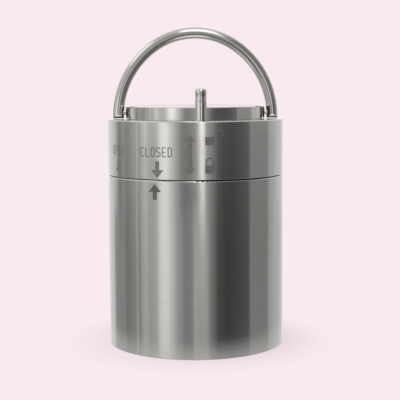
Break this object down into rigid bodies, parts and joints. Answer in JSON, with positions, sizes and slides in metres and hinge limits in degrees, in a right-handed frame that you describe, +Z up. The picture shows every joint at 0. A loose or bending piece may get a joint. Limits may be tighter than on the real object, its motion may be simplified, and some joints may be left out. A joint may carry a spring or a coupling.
{
  "type": "liquid nitrogen dewar",
  "caption": "Small straight-sided stainless dewar with a bayonet locking collar, a lock pin, a lift-off insulated lid and a folding bail handle.",
  "frame": {"origin": "middle of the flat base, on the surface that the dewar stands on", "axes": "+Z up along the flask's axis, -Y towards the front, where the lock pin and marks are, X along the bail's pivots"},
  "size_m": [0.127, 0.127, 0.2281],
  "materials": {
    "casing_steel": "vertically streaked brushed stainless, soft smudges",
    "collar_steel": "fine turned stainless, soft sheen",
    "lid_steel": "fine turned stainless",
    "machined_steel": "turned stainless",
    "bail_steel": "drawn stainless rod, satin polish along the rod",
    "pin_steel": "ground and polished stainless",
    "fastener_steel": "plain stainless fasteners",
    "spring_steel": "dark spring steel",
    "flask_steel": "thin drawn stainless, bright",
    "port_steel": "plain stainless",
    "bush_bronze": "turned bearing bronze",
    "white_ptfe": "waxy white fluoropolymer",
    "filled_ptfe": "carbon-filled fluoropolymer, dark grey",
    "laminate": "glass and epoxy laminate, green-yellow",
    "foam": "rigid closed-cell foam, cream",
    "foil_wrap": "crinkled aluminised film in layers",
    "base_rubber": "matt black rubber",
    "black_rubber": "matt black rubber",
    "black_plastic": "matt black moulded cap"
  },
  "bodies": {
    "vessel": {"outer_casing": "casing_steel", "base_plate": "casing_steel", "base_pad": "base_rubber", "evacuation_port": "port_steel", "port_plug": "port_steel", "port_cap": "black_plastic", "inner_flask": "flask_steel", "neck_tube": "flask_steel", "neck_ring": "machined_steel", "insulation_wrap": "foil_wrap", "getter_pack": "port_steel", "flask_support": "laminate"},
    "lid": {"lid_hub": "lid_steel", "lid_cover": "lid_steel", "cover_screws": "fastener_steel", "lid_gasket": "white_ptfe", "plug_disc": "laminate", "plug_shell": "white_ptfe", "plug_foam": "foam", "plug_screws": "fastener_steel", "vent_tube": "white_ptfe", "vent_plug": "fastener_steel", "glide_ring": "white_ptfe", "pivot_bush_left": "filled_ptfe", "pivot_bush_right": "filled_ptfe"},
    "collar": {"locking_collar": "collar_steel", "retaining_ring": "machined_steel", "hub_circlip": "spring_steel", "pin_bush_upper": "bush_bronze", "pin_bush_lower": "bush_bronze", "detent_ring": "black_rubber"},
    "lock_pin": {"lock_pin": "pin_steel", "pin_clip": "spring_steel"},
    "bail": {"bail_handle": "bail_steel", "pivot_screw_left": "fastener_steel", "pivot_screw_right": "fastener_steel", "pivot_washer_left": "fastener_steel", "pivot_washer_right": "fastener_steel"}
  },
  "joints": [
    {"name": "lid_lift", "type": "slide", "parent": "vessel", "child": "lid", "axis": [0, 0, 1], "range_m": [0, 0.11]},
    {"name": "collar_turn", "type": "hinge", "parent": "lid", "child": "collar", "pos_m": [0, 0, 0.1434], "axis": [0, 0, 1], "range_deg": [0, 33]},
    {"name": "pin_slide", "type": "slide", "parent": "collar", "child": "lock_pin", "axis": [0, 0, 1], "range_m": [-0.008, 0]},
    {"name": "bail_swing", "type": "hinge", "parent": "lid", "child": "bail", "pos_m": [0, 0, 0.1673], "axis": [1, 0, 0], "range_deg": [-90, 60]}
  ]
}
